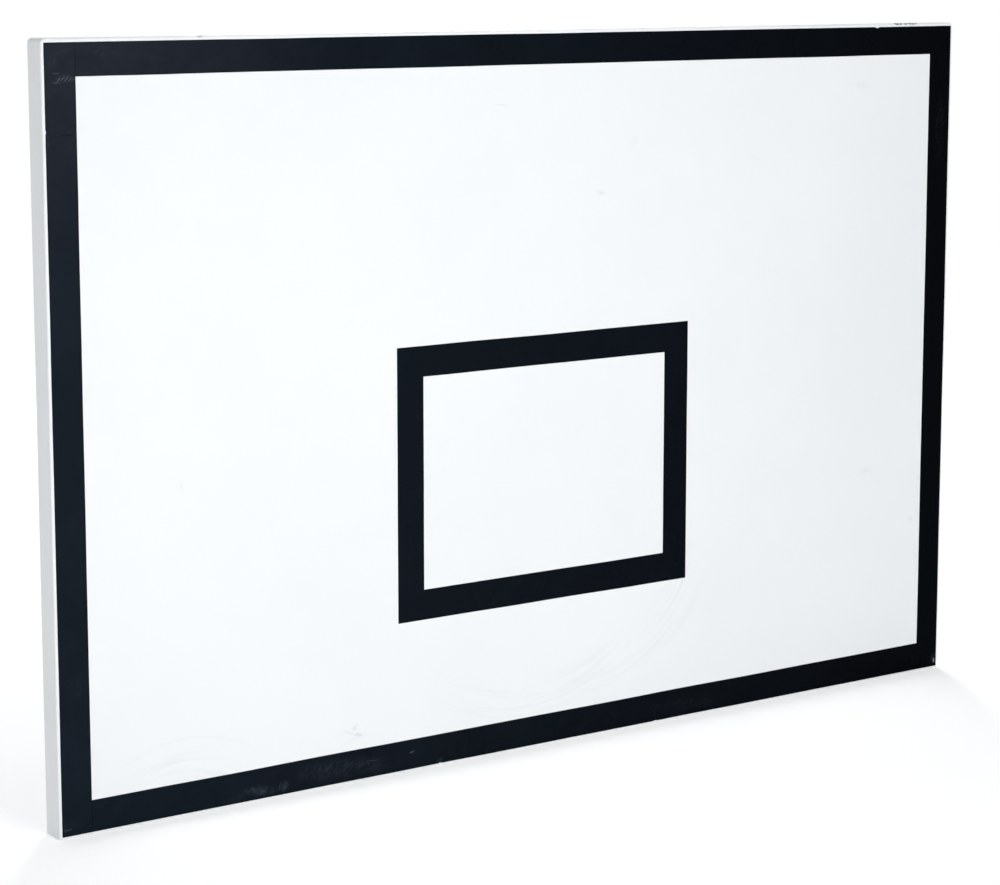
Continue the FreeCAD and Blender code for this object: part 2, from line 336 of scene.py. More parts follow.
def makeWhiteCoat(use):
    finish, tree, shader = newFinish("whitePowderCoat")
    shader.inputs["Specular IOR Level"].default_value = use["gloss"]
    place = objectPlace(tree)
    colour = blend(tree, textured(tree, place, use["cloud"]), use["colour"], use["shade"])
    shallow, deep = use["markFade"]
    front = span(tree, partOf(tree, place, "Y"), faceY + shallow, faceY + deep, 1.0, 0.0)
    marks = []
    for number, (*wipe, strength) in enumerate(use["wipes"]):
        marks.append(times(tree, wipeMask(tree, place, use["wipingSeed"] * number, *wipe), strength))
    for *arc, strength in use["arcs"]:
        marks.append(times(tree, bowMask(tree, place, *arc), strength))
    wiped = times(tree, largest(tree, marks), front)
    colour = blend(tree, times(tree, wiped, use["wipedColour"]), colour, use["streak"])
    ragged = times(tree, textured(tree, place, use["ragged"]), front)
    for middle, size, turn, strength in use["specks"]:
        spot = times(tree, patch(tree, place, middle, size, turn, use["speckCore"]), ragged)
        colour = blend(tree, times(tree, spot, strength), colour, use["speck"])
    torn = textured(tree, place, use["torn"])
    for x, depth, halfLength, halfWidth, strength in use["chips"]:
        inputs = {"Vector": place, "Location": (x, faceY + depth, trayHigh.z),
                  "Scale": (halfLength, halfWidth, use["chipDrop"])}
        reach = lengthOf(tree, put(tree, "Mapping", inputs, vector_type="TEXTURE").outputs["Vector"])
        chip = times(tree, span(tree, reach, use["chipCore"], 1.0, strength, 0.0), torn)
        colour = blend(tree, chip, colour, use["chip"])
    dull = sums(tree, "ADD", textured(tree, place, use["roughness"]), times(tree, wiped, use["wipedDull"]))
    coat(tree, shader, colour, dull)
    orangePeel(tree, shader, place, use)
    return finish


whiteFinish = makeWhiteCoat(whiteCoat)
print("white coat ready")


# face tray: one folded sheet, its face slightly uneven between the tubes behind it
tray = {
    "fold": 3.0 * mm, "topCorner": 8.0 * mm, "sheet": 1.5 * mm, "rim": 0.4 * mm,
    "flatInset": 14 * mm, "columns": 110, "rows": 74, "foldSteps": 7, "cornerSteps": 9,
    "unevenness": (0.30 * mm, -0.25 * mm, 0.22 * mm, -0.28 * mm, 0.32 * mm),  # one for each bay
}


def sheetWave(x, z):
    # depth of the unevenness: in each bay one hump, sine squared from tube to tube,
    # fading towards top and bottom with the fourth power of the height
    across = (np.asarray(x)[..., None] - bayEdges[:-1]) / np.diff(bayEdges)
    humps = np.sin(np.pi * np.clip(across, 0, 1)) ** 2 * np.array(tray["unevenness"])
    return humps.sum(-1) * np.clip(1 - (np.asarray(z) / bayTop) ** 4, 0, 1)


def boardOutline(inset, columns, rows):
    # outline of the board, set in all round: lower corners square, upper ones on arcs
    halfX, halfZ = trayHigh.x - inset, trayHigh.z - inset
    radius = max(tray["topCorner"] - inset, 0)
    turn = np.linspace(0, np.pi / 2, tray["cornerSteps"])
    arcX, arcZ = halfX - radius + radius * np.cos(turn), halfZ - radius + radius * np.sin(turn)
    x = [[-halfX], columns, [halfX], halfX + 0 * rows, arcX, columns[::-1], -arcX[::-1], -halfX + 0 * rows]
    z = [[-halfZ], -halfZ + 0 * columns, [-halfZ], rows, arcZ, halfZ + 0 * columns, arcZ[::-1], rows[::-1]]
    return np.concatenate(x), np.concatenate(z)


def trayShape():
    # profile of the folded edge (inset, depth) carried round the outline; a grid closes front and back
    fold, sheet, rim = tray["fold"], tray["sheet"], tray["rim"]
    backY = trayHigh.y
    turn = np.linspace(0, np.pi / 2, tray["foldSteps"])
    inset = [[tray["flatInset"]], fold - fold * np.sin(turn), [0, rim, sheet - rim, sheet],
             fold - (fold - sheet) * np.cos(turn), [tray["flatInset"]]]
    depth = [[faceY], faceY + fold - fold * np.cos(turn), [backY - rim, backY, backY, backY - rim],
             faceY + fold - (fold - sheet) * np.sin(turn), [sheetBackY]]
    inset, depth = np.concatenate(inset), np.concatenate(depth)
    edgeX, edgeZ = trayHigh.x - tray["flatInset"], trayHigh.z - tray["flatInset"]
    gridX, gridZ = np.linspace(-edgeX, edgeX, tray["columns"]), np.linspace(-edgeZ, edgeZ, tray["rows"])
    rings = np.array([boardOutline(step, gridX[1:-1], gridZ[1:-1]) for step in inset])
    edge = stacked(rings[:, 0], depth[:, None], rings[:, 1])
    flatX, flatZ = np.meshgrid(gridX, gridZ, indexing="ij")
    wave = sheetWave(flatX, flatZ)
    faces = gridFaces(len(gridX), len(gridZ)).tolist()
    return joined([
        (edge.reshape(-1, 3), gridFaces(*edge.shape[:2], False, True).tolist()),
        (stacked(flatX, faceY + wave, flatZ).reshape(-1, 3), faces),
        (stacked(flatX, sheetBackY + wave, flatZ).reshape(-1, 3), faces),
    ])


makePiece("face_tray", trayShape(), whiteFinish, sharp=50)
print("face tray built")


# black vinyl tape: satin, with a painted sheen that is lighter towards the left and strongest in the upper
# left corner, fine dust, rubbed patches and scratches
blackVinyl = {
    "colour": (0.0003, 0.0008, 0.0018, 1), "film": (0.0085, 0.0130, 0.0200, 1),
    "dusty": (0.0170, 0.0205, 0.0290, 1), "rub": (0.105, 0.130, 0.160, 1), "bare": (0.78, 0.80, 0.83, 1),
    "seam": (0.0004, 0.0007, 0.0012, 1), "roughness": (0.27, 0.38), "rubbedDull": 0.5, "gloss": 0.016,
    # grain settings and what they are spread over
    "cloud": ((6, 5, 0.62, 0.4), (0.40, 0.74)), "cornerSheenGrain": ((34, 4, 0.55), (0.35, 0.65, 0.72, 1.0)),
    "mottle": ((75, 5, 0.65, 0.5), (0.36, 0.62, 0.25, 1.0)), "dust": ((900, 2, 0.5), (0.70, 0.80, 0.0, 0.05)),
    "rubStreaks": ((1.0, 4, 0.6, 0.8), (0.42, 0.68, 0.15, 1.0)), "rubTurn": 40, "rubSize": (3 * mm, 14 * mm),
    "bumpGrain": (700, 3, 0.55), "bump": (0.06, 0.3 * mm),
    # x at which the painted sheen is strongest and where it is gone, and how patchy it is
    "sheenFrom": -0.9, "sheenTo": 0.86, "sheenPatches": (0.80, 1.0),
    # the corner where the painted sheen is strongest: middle, size, strength
    "sheenCorner": ((-0.9, 0.6), (0.62, 0.40), 0.85),
    "sheenCore": 0.05, "seamCore": 0.5, "scratchCore": 0.55,
    # middle, size, turn, strength: rubbed patches
    "rubs": [
        ((-0.597, -0.588), (0.020, 0.008), 0, 0.10), ((-0.553, -0.583), (0.040, 0.011), 6, 0.40),
        ((-0.511, -0.583), (0.012, 0.012), 25, 0.42), ((-0.40, -0.574), (0.115, 0.022), 3, 0.17),
        ((-0.2154, -0.5915), (0.008, 0.007), 0, 0.42), ((0.30, -0.577), (0.12, 0.016), 2, 0.06),
        ((-0.862, 0.5415), (0.020, 0.008), 0, 0.28), ((-0.870, 0.583), (0.030, 0.012), 0, 0.07),
        ((-0.881, 0.565), (0.013, 0.020), 0, 0.08), ((-0.800, 0.580), (0.060, 0.014), 8, 0.07),
        ((-0.892, 0.450), (0.004, 0.013), 0, 0.22), ((-0.855, 0.440), (0.012, 0.014), 30, 0.06),
        ((0.874, 0.41), (0.016, 0.08), 0, 0.05), ((0.889, -0.580), (0.010, 0.020), 0, 0.16),
        ((-0.868, -0.37), (0.022, 0.04), 25, 0.05), ((-0.885, -0.583), (0.03, 0.012), 0, 0.07),
    ],
    # middle, size, turn, strength: single scratches
    "scratches": [
        ((-0.345, -0.5695), (0.016, 0.0007), 3, 0.035), ((-0.270, -0.5682), (0.0055, 0.0016), -8, 0.075),
        ((-0.887, -0.586), (0.010, 0.0008), 0, 0.05), ((0.8900, -0.5855), (0.0024, 0.0060), -6, 0.22),
        ((-0.8765, 0.5490), (0.0075, 0.0009), 1, 0.045), ((-0.8770, 0.5355), (0.0080, 0.0009), 2, 0.060),
        ((-0.8725, 0.5400), (0.0009, 0.0060), 48, 0.060), ((-0.8665, 0.5410), (0.0009, 0.0062), 48, 0.060),
        ((-0.8605, 0.5405), (0.0009, 0.0058), 48, 0.050), ((-0.8545, 0.5400), (0.0009, 0.0058), 48, 0.055),
        ((-0.8490, 0.5400), (0.0009, 0.0055), 48, 0.045), ((-0.519, -0.583), (0.0008, 0.0090), 15, 0.03),
    ],
    # middle, size, strength: where two lengths meet
    "seams": [
        ((-0.8455, 0.569), (0.0009, 0.030), 0.45), ((0.8455, 0.569), (0.0009, 0.030), 0.4),
        ((-0.8620, 0.459), (0.0180, 0.0008), 0.8), ((-0.8455, -0.5715), (0.0009, 0.030), 0.4),
        ((0.8455, -0.5715), (0.0009, 0.030), 0.4),
    ],
}


def makeBlackVinyl(use):
    finish, tree, shader = newFinish("blackVinylTape")
    shader.inputs["Specular IOR Level"].default_value = use["gloss"]
    place = objectPlace(tree)
    cloud = textured(tree, place, use["cloud"])
    # painted sheen: a lighter film towards the left, standing in for a reflection
    sheenFade = span(tree, partOf(tree, place, "X"), use["sheenFrom"], use["sheenTo"], 1.0, 0.0, "LINEAR")
    film = times(tree, sheenFade, span(tree, cloud, 0, 1, *use["sheenPatches"]))
    colour = blend(tree, film, use["colour"], use["film"])
    # painted sheen, strongest in the upper left corner and broken up by grain
    middle, size, strength = use["sheenCorner"]
    dusty = times(tree, patch(tree, place, middle, size, 0, use["sheenCore"]), strength)
    colour = blend(tree, times(tree, dusty, textured(tree, place, use["cornerSheenGrain"])), colour, use["dusty"])
    for middle, size, strength in use["seams"]:
        line = times(tree, patch(tree, place, middle, size, 0, use["seamCore"]), strength)
        colour = blend(tree, line, colour, use["seam"])
    slanted = stretched(tree, place, (0, 0), use["rubTurn"], use["rubSize"])
    mottle = times(tree, textured(tree, slanted, use["rubStreaks"]), textured(tree, place, use["mottle"]))
    rubs = [times(tree, patch(tree, place, *rub), strength) for *rub, strength in use["rubs"]]
    rubbed = times(tree, largest(tree, rubs), mottle)
    dust = textured(tree, place, use["dust"])
    colour = blend(tree, sums(tree, "MAXIMUM", rubbed, dust), colour, use["rub"])
    for *scratch, strength in use["scratches"]:
        line = times(tree, patch(tree, place, *scratch, use["scratchCore"]), strength)
        colour = blend(tree, line, colour, use["bare"])
    dull = span(tree, cloud, 0, 1, *use["roughness"])
    coat(tree, shader, colour, sums(tree, "ADD", dull, times(tree, rubbed, use["rubbedDull"])))
    roughen(tree, shader, grain(tree, place, *use["bumpGrain"]), *use["bump"])
    return finish


vinylFinish = makeBlackVinyl(blackVinyl)
print("black vinyl ready")


# tape lines: thin strips with hand-cut edges, small nicks, and a splice in the left one
tape = {
    "step": 1.6 * mm, "edgeRound": 0.10 * mm, "buttGap": 0.01 * mm,
    # wander of the edges: size, length, plain ends where strips butt, reach over which it sets in
    "unevenness": 0.30 * mm, "period": 0.4, "plainEnd": 0.055, "setIn": 0.06,
    # profile from edge to edge: share of the width, inset in edge rounds, share of the thickness
    "across": (0, 0, 0, 0, 0.25, 0.5, 0.75, 1, 1, 1, 1),
    "inset": (0, 0, 0.4, 1.6, 0, 0, 0, -1.6, -0.4, 0, 0),
    "stand": (0, 0.55, 0.88, 1, 1, 1, 1, 1, 0.88, 0.55, 0),
    # edge (0 at the smaller x or z, 1 at the larger), place along, depth, half length
    "nicks": {
        "border_line_left": [(0, 0.4642, 0.9 * mm, 2.8 * mm)],
        "border_line_top": [(1, 0.717, 1.7 * mm, 4 * mm)],
        "border_line_bottom": [(0, -0.215, 1.2 * mm, 3.6 * mm), (0, 0.232, 1.2 * mm, 3.0 * mm)],
    },
    "torn": 0.35, "tornPeriod": 3 * mm, "tornSeed": 5,
    "splices": {"border_line_left": [0.459]},
}


def tapeEdge(name, edge, along):
    # how far an edge stands in: soft wander, none where strips butt, plus nicks, each a steep-sided bell
    fromEnd = np.minimum(along - along[0], along[-1] - along)
    setsIn = np.clip((fromEnd - tape["plainEnd"]) / tape["setIn"], 0, 1)
    inward = tape["unevenness"] * wander(along, tape["period"], len(name) * 7 + edge) * setsIn
    for side, middle, depth, half in tape["nicks"].get(name, []):
        if side == edge:
            ragged = 1 + tape["torn"] * wander(along, tape["tornPeriod"], tape["tornSeed"])
            inward = np.maximum(inward, depth * np.exp(-((along - middle) / half) ** 4) * ragged)
    return inward


def tapeLength(name, low, high, upright, start, end):
    # flat profile with rounded edges carried along the strip, lying on the uneven face
    gap, steps = tape["buttGap"], int((end - start) / tape["step"]) + 2
    along = np.linspace(start + gap, end - gap, steps)
    first, last = (low.x, high.x) if upright else (low.z, high.z)
    firstEdge = (first + tapeEdge(name, 0, along))[:, None]
    lastEdge = (last - tapeEdge(name, 1, along))[:, None]
    stand = np.array(tape["stand"]) * (high.y - low.y)
    inset = np.array(tape["inset"]) * tape["edgeRound"]
    across = firstEdge + (lastEdge - firstEdge) * np.array(tape["across"]) + inset
    x, z = (across, along[:, None]) if upright else (along[:, None], across)
    return carried(stacked(x, faceY + sheetWave(*np.broadcast_arrays(x, z)) - stand, z))


for name in [kind + "_line_" + side for kind in ("border", "target") for side in sides]:
    low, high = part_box(name)
    upright = high.z - low.z > high.x - low.x
    start, end = (low.z, high.z) if upright else (low.x, high.x)
    stops = [start] + tape["splices"].get(name, []) + [end]
    lengths = [tapeLength(name, low, high, upright, a, b) for a, b in zip(stops, stops[1:])]
    makePiece(name, joined(lengths), vinylFinish, sharp=60)
print("tape lines laid")


# frame coat: pale grey, with painted shade where the tubes meet the sheet and dirt in faint runs and specks;
# the plate gets less of the painted shade
frameCoat = {
    "colour": (0.70, 0.72, 0.74, 1), "shade": (0.61, 0.635, 0.66, 1), "dirt": (0.34, 0.33, 0.31, 1),
    "cloud": ((5, 5, 0.6), (0.35, 0.72)), "roughness": ((14, 4, 0.6), (0.3, 0.7, 0.36, 0.52)),
    "creaseShadeGrain": ((38, 5, 0.7), (0.35, 0.70, 0.10, 0.60)), "foot": (2 * mm, 16 * mm),
    "runGrain": ((1.0, 5, 0.65), (0.55, 0.85, 0.0, 0.16)), "runSize": (8 * mm, 200 * mm),
    "specks": ((160, 2, 0.5), (0.73, 0.80, 0.0, 0.35)),
    "peel": (420, 70, 2, 0.8), "bump": (0.14, 0.5 * mm),
}
plateCoat = dict(frameCoat, creaseShadeGrain=((38, 5, 0.7), (0.35, 0.70, 0.03, 0.16)))


def makeFrameCoat(name, use):
    finish, tree, shader = newFinish(name)
    place = objectPlace(tree)
    colour = blend(tree, textured(tree, place, use["cloud"]), use["colour"], use["shade"])
    # painted shade: darker near the sheet, where the tubes stand on it, broken up by grain
    near, far = use["foot"]
    foot = span(tree, partOf(tree, place, "Y"), sheetBackY + near, sheetBackY + far, 1.0, 0.0)
    creaseShade = times(tree, foot, textured(tree, place, use["creaseShadeGrain"]))
    runs = textured(tree, stretched(tree, place, (0, 0), 0, use["runSize"]), use["runGrain"])
    dirt = largest(tree, [creaseShade, runs, textured(tree, place, use["specks"])])
    colour = blend(tree, dirt, colour, use["dirt"])
    coat(tree, shader, colour, textured(tree, place, use["roughness"]))
    orangePeel(tree, shader, place, use)
    return finish


frameFinish = makeFrameCoat("frameCoat", frameCoat)
plateFinish = makeFrameCoat("plateCoat", plateCoat)
print("frame coat ready")


# frame tubes and uprights: rounded square section, frame ends mitred, upper outer corners dressed round
tubes = {
    "radius": 4.0 * mm, "arcSteps": 7, "cornerRadius": 6.0 * mm, "uprightSteps": 9,
    "nearEnd": (0, 1.5 * mm, 3 * mm, 5 * mm, 9 * mm),  # sections close to a mitred end
}


def tubeSection(half):
    # rounded square: four quarter arcs, each about a point set in from its corner by the radius
    quarter = np.arange(4)[:, None] * np.pi / 2
    turn = quarter + np.linspace(0, np.pi / 2, tubes["arcSteps"])
    middle = (half - tubes["radius"]) * math.sqrt(2)
    u = middle * np.cos(quarter + np.pi / 4) + tubes["radius"] * np.cos(turn)
    v = middle * np.sin(quarter + np.pi / 4) + tubes["radius"] * np.sin(turn)
    return u.ravel(), v.ravel()


def frameTube(side):
    # section carried along one side of the frame, cut at 45 degrees, longest at its outer face
    low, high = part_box("frame_tube_" + side)
    level, sign = side in ("top", "bottom"), 1 if side in ("top", "right") else -1
    size = high.y - low.y
    u, v = tubeSection(size / 2)
    outer, reach = (frameHalfZ, frameHalfX) if level else (frameHalfX, frameHalfZ)
    out = outer - size / 2 + u
    half = reach - size / 2 + u
    near = np.array(tubes["nearEnd"])[:, None]
    along = np.concatenate([near - half, half - near[::-1]])
    across = sign * np.broadcast_to(out, along.shape)
    x, z = (along, across) if level else (across, along)
    # what lies outside the arc of an upper corner is drawn in to it
    radius = tubes["cornerRadius"]
    middleX, middleZ = frameHalfX - radius, frameHalfZ - radius
    awayX, awayZ = np.abs(x) - middleX, z - middleZ
    away = np.hypot(awayX, awayZ)
    outside = (awayX > 0) & (awayZ > 0) & (away > radius)
    pull = radius / np.maximum(away, radius)
    x = np.where(outside, np.sign(x) * (middleX + awayX * pull), x)
    z = np.where(outside, middleZ + awayZ * pull, z)
    return carried(stacked(x, (low.y + high.y) / 2 + v, z))


def uprightTube(name):
    # section carried straight up
    low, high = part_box(name)
    u, v = tubeSection((high.x - low.x) / 2)
    z = np.linspace(low.z, high.z, tubes["uprightSteps"])[:, None]
    return carried(stacked((low.x + high.x) / 2 + u, (low.y + high.y) / 2 + v, z))


for side in sides:
    makePiece("frame_tube_" + side, frameTube(side), frameFinish, sharp=30)
for place in uprightPlaces:
    node = "upright_" + place
    makePiece(node, uprightTube(node), frameFinish, sharp=30)
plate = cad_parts["ring_plate"]
plate.data.materials.clear()
plate.data.materials.append(plateFinish)
print("frame tubes, uprights and ring plate done")


# weld beads: overlapping scales, thinner at the ends, under the same coat as the frame
welds = {
    "step": 0.4 * mm, "crownSteps": 9, "capSteps": 13, "sink": 0.4 * mm,
    # scales: length, height, how far each bows forward, share below the bead's surface, drift
    "scale": 2.4 * mm, "scaleHeight": 0.42 * mm, "bow": 1.1 * mm, "scaleSink": 0.6,
    "drift": 0.5 * mm, "driftPeriod": 9 * mm, "driftSeed": 3,
    # ends: size at the very end, reach in widths
    "endSize": 0.25, "endReach": 1.3,
    # crown of the fillets; how much and over what length the beads' size wanders
    "crown": 0.2 * mm, "filletWander": (0.07, 16 * mm), "capWander": (0.09, 14 * mm), "capSink": 0.1 * mm,
    "uprightLeg": 4.0 * mm, "plateLeg": 5.0 * mm, "plateShort": 10 * mm,
    "cornerWidth": 6.0 * mm, "cornerHeight": 1.2 * mm,
    "collarLeg": 3.0 * mm, "collarSteps": 220, "collarBow": 0.45, "collarShare": 0.7,
    "collarCrown": 0.15 * mm,
    "stitchLength": 45 * mm, "stitchRun": 6.5 * mm, "stitchRise": 2.6 * mm,
    "stitchRoot": [(-0.1 * mm, 0), (-0.1 * mm, -3.6 * mm), (0.5 * mm, -3.6 * mm), (4.2 * mm, -0.4 * mm)],
    "stitchX": (-0.75, -0.375, 0, 0.375, 0.75), "stitchZ": (-0.45, -0.15, 0.15, 0.45),
}


def scaleSteps(part):
    # height of the scales: a quarter round rising over each scale, then a step down
    return welds["scaleHeight"] * (np.sqrt(1 - (1 - part) ** 2) - welds["scaleSink"])


def beadScales(along, share):
    # scales again and again along the bead, each bowed forward in its middle
    drift = welds["drift"] * wander(along, welds["driftPeriod"], welds["driftSeed"])[:, None]
    bowed = along[:, None] - welds["bow"] * 4 * share * (1 - share) + drift
    return scaleSteps(np.mod(bowed / welds["scale"], 1))


def beadEnds(along, reach):
    # from a small size at both ends to full size, on a quarter round of the given reach
    near = np.clip(np.minimum(along, along[-1] - along) / reach, 0, 1)
    return (welds["endSize"] + (1 - welds["endSize"]) * np.sqrt(1 - (1 - near) ** 2))[:, None]


def wandering(along, use, seed):
    # factor that wanders about 1 along a bead
    amount, period = use
    return 1 + amount * wander(along, period, seed)[:, None]


def placed(start, direction, across, up, along, a, b):
    # points at a along across and b along up, beside a straight line
    line = np.array(start) + np.array(direction) * along[:, None, None]
    return line + np.array(across) * a[..., None] + np.array(up) * b[..., None]


def withRoot(section, root):
    # one coordinate of a section, with the same points of the root added at every step
    return np.concatenate([section, np.ones((len(section), 1)) * root], 1)


def filletBead(start, direction, across, up, length, run, rise, seed, root=None):
    # slightly crowned three-cornered section carried straight, with its root sunk into the corner
    along = np.linspace(0, length, int(length / welds["step"]))
    share = np.linspace(0, 1, welds["crownSteps"])
    ends = beadEnds(along, welds["endReach"] * max(run, rise))
    size = ends * wandering(along, welds["filletWander"], seed)
    crown = np.sin(np.pi * share) * (welds["crown"] + beadScales(along, share))
    hump = ends * crown / math.hypot(run, rise)
    sink = welds["sink"]
    root = np.array(root or [(-sink, rise / 2), (-sink, -sink), (run / 2, -sink)])
    a = withRoot(size * run * (1 - share) + hump * rise, root[:, 0])
    b = withRoot(size * rise * share + hump * run, root[:, 1])
    return carried(placed(start, direction, across, up, along, a, b))


def capBead(start, direction, across, up, length, width, height, seed):
    # low rounded section lying on a flat
    along = np.linspace(0, length, int(length / welds["step"]))
    share = np.linspace(0, 1, welds["capSteps"])
    ends = beadEnds(along, width)
    a = ends * width / 2 * np.cos(np.pi * share) * wandering(along, welds["capWander"], seed)
    b = ends * np.sin(np.pi * share) * (height + beadScales(along, share)) - welds["capSink"]
    return carried(placed(start, direction, across, up, along, a, b))


def collarBead(middle, radius, leg):
    # crowned fillet carried round a collar, a whole number of scales to the turn
    turn = fullTurn(welds["collarSteps"])[:, None]
    share = np.linspace(0, 1, welds["crownSteps"])
    scales = round(2 * np.pi * (radius + leg / 2) / welds["scale"])
    part = np.mod(turn * scales / (2 * np.pi) - welds["collarBow"] * 4 * share * (1 - share), 1)
    hump = welds["collarShare"] * np.sin(np.pi * share) * (welds["collarCrown"] + scaleSteps(part))
    sink = welds["sink"]
    out = radius + withRoot(leg * (1 - share) + hump, [-sink, -sink])
    up = withRoot(leg * share + hump, [leg / 2, -sink])
    x, z = middle[0] + out * np.cos(turn), middle[1] + out * np.sin(turn)
    return carried(stacked(x, tubeBackY + up, z), True)


bushCorners = [level + "_" + side for level in ("lower", "upper") for side in ("left", "right")]
bushNames = ["mounting_bush_" + corner for corner in bushCorners]
bushMiddles = [(middleOf(name, 0), middleOf(name, 2)) for name in bushNames]
collarRadius = (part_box(bushNames[0])[1].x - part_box(bushNames[0])[0].x) / 2
plateLow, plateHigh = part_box("ring_plate")
tubeFlat = tubeSize - 2 * tubes["radius"]


def cornerWeld(sideX, sideZ):
    # along the mitre, from the inner corner of the frame outwards
    setIn = tubeSize - tubes["radius"]
    start = (sideX * (frameHalfX - setIn), tubeBackY, sideZ * (frameHalfZ - setIn))
    direction, across = (sideX * halfRoot, 0, sideZ * halfRoot), (sideZ * halfRoot, 0, -sideX * halfRoot)
    return capBead(start, direction, across, backwards, tubeFlat * math.sqrt(2),
                   welds["cornerWidth"], welds["cornerHeight"], 11 + sideX + 3 * sideZ)


def uprightWeld(number, x, side, end):
    # beside an upright, where it meets the frame
    leg = welds["uprightLeg"]
    start = (x + side * tubeSize / 2, tubeFrontY + tubes["radius"], end * bayTop)
    seed = 20 + number * 4 + side + 2 * end
    return filletBead(start, backwards, (side, 0, 0), (0, 0, -end), tubeFlat, leg, leg, seed)


def plateWeld(side):
    # up the side of the ring plate
    leg, short = welds["plateLeg"], welds["plateShort"]
    length = plateHigh.z - plateLow.z - 2 * short
    start = (side * plateHigh.x, plateHigh.y, plateLow.z + short)
    return filletBead(start, upwards, (-side, 0, 0), backwards, length, leg, leg, 40 + side)


def stitchWeld(number, middle, side, level):
    # between the wall of the tray and the tube: along the top or bottom if level, else up a side
    first = middle - welds["stitchLength"] / 2
    if level:
        start, direction = (first, tubeBackY, side * (trayHigh.z - tray["sheet"])), (1, 0, 0)
        across, seed = (0, 0, -side), 50 + number
    else:
        start, direction = (side * (trayHigh.x - tray["sheet"]), tubeBackY, first), upwards
        across, seed = (-side, 0, 0), 60 + number
    size = (welds["stitchLength"], welds["stitchRun"], welds["stitchRise"])
    return filletBead(start, direction, across, backwards, *size, seed, welds["stitchRoot"])


weldBeads = {
    "frame_corner_welds": [cornerWeld(sideX, sideZ) for sideX in signs for sideZ in signs],
    "upright_welds": [uprightWeld(number, x, side, end)
                      for number, x in enumerate(uprightX) for side in signs for end in signs],
    "ring_plate_welds": [plateWeld(side) for side in signs],
    "bush_welds": [collarBead(middle, collarRadius, welds["collarLeg"]) for middle in bushMiddles],
    "tray_stitch_welds": [stitchWeld(number, middle, side, level)
                          for places, level in ((welds["stitchX"], True), (welds["stitchZ"], False))
                          for number, middle in enumerate(places) for side in signs],
}
for node, beads in weldBeads.items():
    makePiece(node, joined(beads), frameFinish, sharp=55)
print("welds laid")


# bright steel: zinc plated, turned; for the bushes and the weld nuts
brightSteel = {
    "colour": (0.66, 0.66, 0.64, 1), "shade": (0.50, 0.49, 0.45, 1), "metal": 1.0,
    "cloud": ((70, 5, 0.65), (0.35, 0.75)), "roughness": ((260, 4, 0.6), (0.3, 0.7, 0.22, 0.42)),
    "bumpGrain": (1400, 3, 0.6), "bump": (0.12, 0.2 * mm),
}
steelFinish = makePlainFinish("brightZinc", brightSteel)

# threaded bushes and weld nuts, M12: the bore in the solids is the thread's inner diameter
thread = {"inner": 5.1 * mm, "outer": 6.0 * mm, "pitch": 1.75 * mm, "rowsPerTurn": 8,
          "slope": 1.3, "root": 0.15}
bush = {"shankRadius": 10 * mm, "chamfer": 1.0 * mm, "boreChamfer": 6.7 * mm, "threadFrom": 1.1 * mm,
        "columns": 72, "facingSteps": 13, "toolMark": 0.035 * mm}
nut = {"acrossFlats": 19 * mm, "boreChamfer": 6.6 * mm, "threadFrom": 1.0 * mm, "columns": 72,
       "coneDepth": 2.0 * mm, "coneSteps": 9, "coneEnd": 0.97, "coneSlope": 0.55}


def threadRadius(turn, depth):
    # V-shaped groove, cut flat at its root and crest, that winds once round the bore for each pitch
    part = np.mod(depth / thread["pitch"] + turn / (2 * np.pi), 1)
    groove = np.clip(thread["slope"] * (1 - np.abs(2 * part - 1)) - thread["root"], 0, 1)
    return thread["inner"] + (thread["outer"] - thread["inner"]) * groove


def threadRows(turn, first, last):
    # rows of the thread from one depth to another
    rows = int(abs(last - first) / thread["pitch"] * thread["rowsPerTurn"])
    depth = np.linspace(first, last, rows)[:, None]
    return threadRadius(turn, depth), depth + 0 * turn


def turned(middle, radius, depth, turn):
    # closed outline (radius, depth) turned about a line along Y
    return carried(stacked(middle[0] + radius * np.cos(turn), depth, middle[1] + radius * np.sin(turn)), True)


def bushShape(name, middle):
    # shank, collar, faced end with tool marks, chamfered and threaded bore
    low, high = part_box(name)
    turn = fullTurn(bush["columns"])
    cut, shank, steps = bush["chamfer"], bush["shankRadius"], bush["facingSteps"]
    facing = np.linspace(collarRadius - cut, bush["boreChamfer"], steps)
    marks = high.y - bush["toolMark"] * (np.arange(steps) % 2)
    radius = np.concatenate([[shank - cut, shank, shank, collarRadius, collarRadius], facing])[:, None]
    depth = np.concatenate([[low.y, low.y + cut, tubeBackY, tubeBackY, high.y - cut], marks])[:, None]
    boreRadius, boreDepth = threadRows(turn, high.y - bush["threadFrom"], low.y)
    radius = np.concatenate([radius + 0 * turn, boreRadius])
    return turned(middle, radius, np.concatenate([depth + 0 * turn, boreDepth]), turn)


def nutShape(middle, low, high):
    # six flats cut by a cone at the outer end, chamfered and threaded bore
    turn = fullTurn(nut["columns"])
    flat = nut["acrossFlats"] / 2
    hexagon = flat / np.cos(np.mod(turn, np.pi / 3) - np.pi / 6)
    depth = np.concatenate([[low], np.linspace(high - nut["coneDepth"], high, nut["coneSteps"])])[:, None]
    cone = flat * nut["coneEnd"] + (high - depth) / nut["coneSlope"]
    boreRadius, boreDepth = threadRows(turn, high - nut["threadFrom"], low)
    chamfer = np.full((1, len(turn)), nut["boreChamfer"])
    radius = np.concatenate([np.minimum(hexagon + 0 * depth, cone), chamfer, boreRadius])
    return turned(middle, radius, np.concatenate([depth + 0 * turn, high + 0 * chamfer, boreDepth]), turn)


